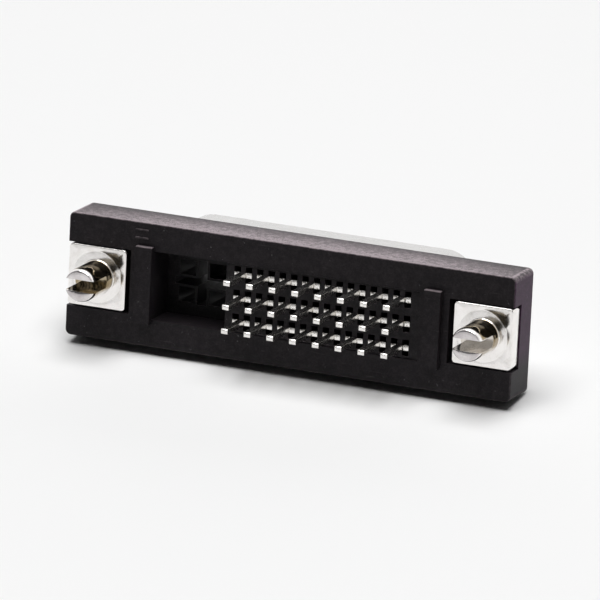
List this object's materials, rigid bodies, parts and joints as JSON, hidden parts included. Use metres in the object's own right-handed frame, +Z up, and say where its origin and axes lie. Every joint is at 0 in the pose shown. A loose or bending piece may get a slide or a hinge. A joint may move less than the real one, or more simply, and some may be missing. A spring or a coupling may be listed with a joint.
{
  "type": "dvi connector",
  "caption": "Upright board-mount video socket: black moulded housing, D-shaped metal shell, rows of signal contacts, slotted board pins and tapped screw locks.",
  "frame": {"origin": "middle of the part's box, on the surface that the housing's long side stands on", "axes": "+X along the housing's length, +Y out of the mating face (the solder tails and board pins point to -Y), +Z up, away from the long side that it stands on"},
  "size_m": [0.0374, 0.012, 0.0099],
  "materials": {
    "housing_plastic": "black glass-filled moulding with a fine grain",
    "core_plastic": "black moulding, smooth",
    "shell_metal": "nickel-plated drawn sheet",
    "lock_metal": "nickel-plated turned brass",
    "contact_metal": "tin-plated stamped strip"
  },
  "bodies": {
    "root": {"housing": "housing_plastic", "insulating_core": "core_plastic", "front_shell": "shell_metal", "left_screw_lock": "lock_metal", "right_screw_lock": "lock_metal", "contact_01": "contact_metal", "contact_02": "contact_metal", "contact_03": "contact_metal", "contact_04": "contact_metal", "contact_05": "contact_metal", "contact_06": "contact_metal", "contact_07": "contact_metal", "contact_08": "contact_metal", "contact_09": "contact_metal", "contact_10": "contact_metal", "contact_11": "contact_metal", "contact_12": "contact_metal", "contact_13": "contact_metal", "contact_14": "contact_metal", "contact_15": "contact_metal", "contact_16": "contact_metal", "contact_17": "contact_metal", "contact_18": "contact_metal", "contact_19": "contact_metal", "contact_20": "contact_metal", "contact_21": "contact_metal", "contact_22": "contact_metal", "contact_23": "contact_metal", "contact_24": "contact_metal"}
  },
  "joints": []
}
